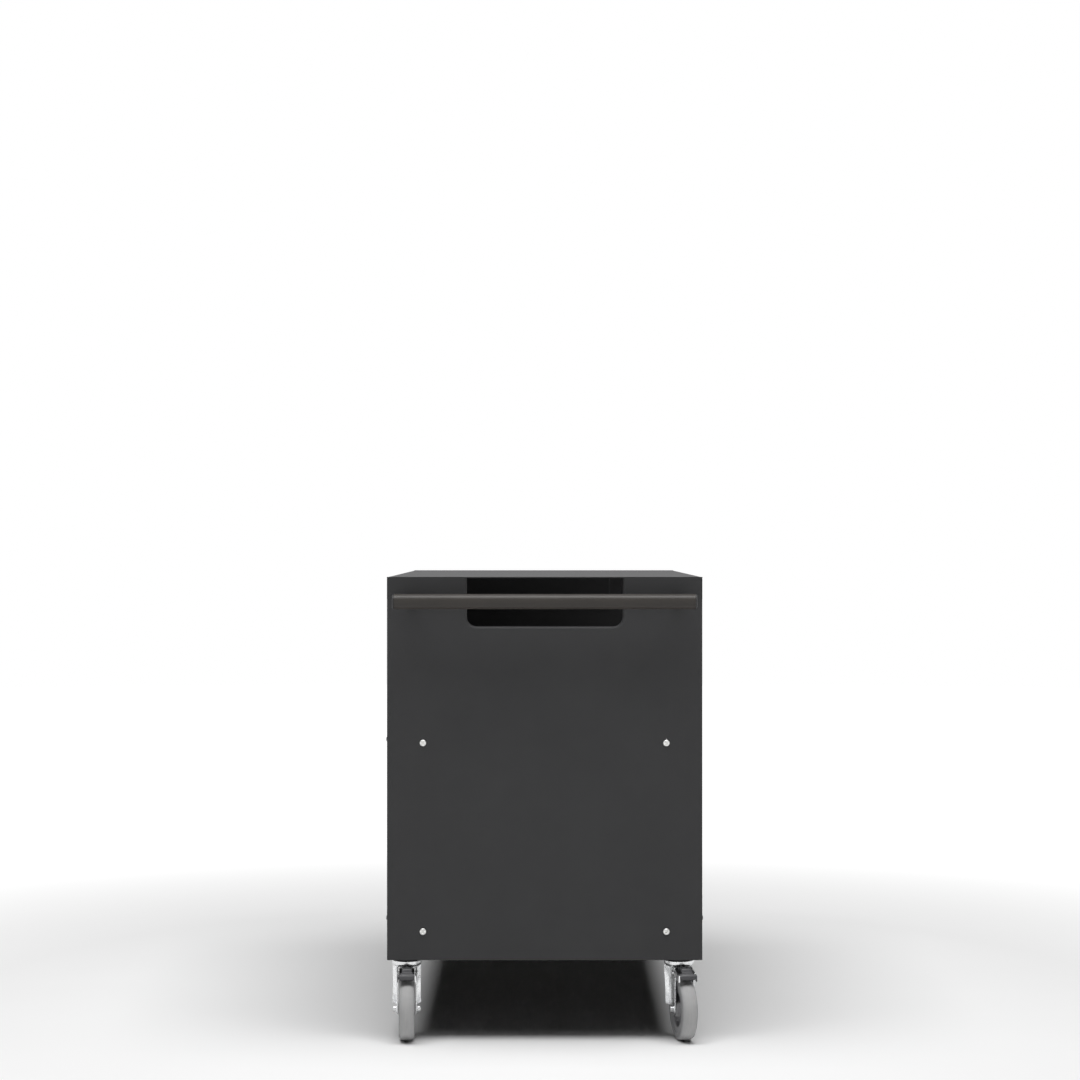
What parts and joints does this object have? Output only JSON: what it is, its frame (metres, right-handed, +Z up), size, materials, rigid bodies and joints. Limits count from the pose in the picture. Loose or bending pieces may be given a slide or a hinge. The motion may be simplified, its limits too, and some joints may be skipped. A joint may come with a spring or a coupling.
{
  "type": "outdoor oven table",
  "caption": "Sheet metal table on braked swivel casters for an outdoor oven: flat deck, side panels with a hand notch and a bar, front doors and an open rear shelf.",
  "frame": {"origin": "on the floor, under the middle of the table's box", "axes": "+Z up, -Y towards the front with the doors, +X towards the table's right side bar"},
  "size_m": [1.254, 0.6348, 0.928],
  "materials": {
    "panel_paint": "fine matte powder coat",
    "inner_paint": "fine matte powder coat",
    "bar_paint": "satin powder coat",
    "black_plastic": "moulded, fine grain",
    "dark_screw": "black coated steel",
    "race_paint": "dark coated pressed steel",
    "zinc": "bright zinc plate",
    "tyre_rubber": "grey, slightly worn tread",
    "hub_plastic": "moulded, fine grain",
    "bush_brass": "plain turned",
    "pedal_plastic": "moulded, ribbed tread"
  },
  "bodies": {
    "cabinet": {"side_panel_right": "panel_paint", "side_panel_left": "panel_paint", "top_deck": "panel_paint", "deck_rib": "panel_paint", "mid_shelf": "inner_paint", "bottom_tray": "inner_paint", "rear_panel": "panel_paint", "caster_plates": "zinc", "upper_races": "race_paint", "king_bolts": "zinc", "king_nuts": "zinc", "bar_tube_right": "bar_paint", "bar_tube_left": "bar_paint", "bar_caps": "black_plastic", "bar_posts": "bar_paint", "post_screws": "zinc", "side_screws": "zinc", "side_nuts": "zinc", "frame_screws": "dark_screw", "frame_nuts": "zinc", "hinge_brackets": "inner_paint", "hinge_pins": "zinc", "door_catch": "black_plastic"},
    "right_door": {"door_skin_right": "panel_paint", "door_liner_right": "inner_paint", "hinge_bushes_right": "black_plastic", "strike_right": "zinc"},
    "left_door": {"door_skin_left": "panel_paint", "door_liner_left": "inner_paint", "hinge_bushes_left": "black_plastic", "strike_left": "zinc"},
    "swivel_front_right": {"fork_front_right": "zinc", "axle_front_right": "zinc", "pedal_pin_front_right": "zinc"},
    "wheel_front_right": {"tyre_front_right": "tyre_rubber", "hub_front_right": "hub_plastic", "bush_front_right": "bush_brass"},
    "brake_front_right": {"pedal_front_right": "pedal_plastic"},
    "swivel_front_left": {"fork_front_left": "zinc", "axle_front_left": "zinc", "pedal_pin_front_left": "zinc"},
    "wheel_front_left": {"tyre_front_left": "tyre_rubber", "hub_front_left": "hub_plastic", "bush_front_left": "bush_brass"},
    "brake_front_left": {"pedal_front_left": "pedal_plastic"},
    "swivel_rear_right": {"fork_rear_right": "zinc", "axle_rear_right": "zinc", "pedal_pin_rear_right": "zinc"},
    "wheel_rear_right": {"tyre_rear_right": "tyre_rubber", "hub_rear_right": "hub_plastic", "bush_rear_right": "bush_brass"},
    "brake_rear_right": {"pedal_rear_right": "pedal_plastic"},
    "swivel_rear_left": {"fork_rear_left": "zinc", "axle_rear_left": "zinc", "pedal_pin_rear_left": "zinc"},
    "wheel_rear_left": {"tyre_rear_left": "tyre_rubber", "hub_rear_left": "hub_plastic", "bush_rear_left": "bush_brass"},
    "brake_rear_left": {"pedal_rear_left": "pedal_plastic"}
  },
  "joints": [
    {"name": "right_door_swing", "type": "hinge", "parent": "cabinet", "child": "right_door", "pos_m": [0.514, -0.305, 0.542], "axis": [0, 0, 1], "range_deg": [0, 105]},
    {"name": "left_door_swing", "type": "hinge", "parent": "cabinet", "child": "left_door", "pos_m": [-0.514, -0.305, 0.542], "axis": [0, 0, -1], "range_deg": [0, 105]},
    {"name": "front_right_swivel", "type": "hinge", "parent": "cabinet", "child": "swivel_front_right", "pos_m": [0.505, -0.278, 0.15], "axis": [0, 0, 1], "continuous": true},
    {"name": "front_right_wheel_spin", "type": "hinge", "parent": "swivel_front_right", "child": "wheel_front_right", "pos_m": [0.54095, -0.27612, 0.0625], "axis": [-0.0523, 0.9986, 0], "continuous": true},
    {"name": "front_right_brake_pedal", "type": "hinge", "parent": "swivel_front_right", "child": "brake_front_right", "pos_m": [0.53496, -0.27643, 0.1345], "axis": [-0.0523, 0.9986, 0], "range_deg": [0, 12]},
    {"name": "front_left_swivel", "type": "hinge", "parent": "cabinet", "child": "swivel_front_left", "pos_m": [-0.505, -0.278, 0.15], "axis": [0, 0, 1], "continuous": true},
    {"name": "front_left_wheel_spin", "type": "hinge", "parent": "swivel_front_left", "child": "wheel_front_left", "pos_m": [-0.54056, -0.27237, 0.0625], "axis": [-0.1564, -0.9877, 0], "continuous": true},
    {"name": "front_left_brake_pedal", "type": "hinge", "parent": "swivel_front_left", "child": "brake_front_left", "pos_m": [-0.53463, -0.27331, 0.1345], "axis": [-0.1564, -0.9877, 0], "range_deg": [0, 12]},
    {"name": "rear_right_swivel", "type": "hinge", "parent": "cabinet", "child": "swivel_rear_right", "pos_m": [0.505, 0.271, 0.15], "axis": [0, 0, 1], "continuous": true},
    {"name": "rear_right_wheel_spin", "type": "hinge", "parent": "swivel_rear_right", "child": "wheel_rear_right", "pos_m": [0.54034, 0.27787, 0.0625], "axis": [-0.1908, 0.9816, 0], "continuous": true},
    {"name": "rear_right_brake_pedal", "type": "hinge", "parent": "swivel_rear_right", "child": "brake_rear_right", "pos_m": [0.53445, 0.27672, 0.1345], "axis": [-0.1908, 0.9816, 0], "range_deg": [0, 12]},
    {"name": "rear_left_swivel", "type": "hinge", "parent": "cabinet", "child": "swivel_rear_left", "pos_m": [-0.505, 0.271, 0.15], "axis": [0, 0, 1], "continuous": true},
    {"name": "rear_left_wheel_spin", "type": "hinge", "parent": "swivel_rear_left", "child": "wheel_rear_left", "pos_m": [-0.5408, 0.26724, 0.0625], "axis": [0.1045, -0.9945, 0], "continuous": true},
    {"name": "rear_left_brake_pedal", "type": "hinge", "parent": "swivel_rear_left", "child": "brake_rear_left", "pos_m": [-0.53484, 0.26786, 0.1345], "axis": [0.1045, -0.9945, 0], "range_deg": [0, 12]}
  ]
}
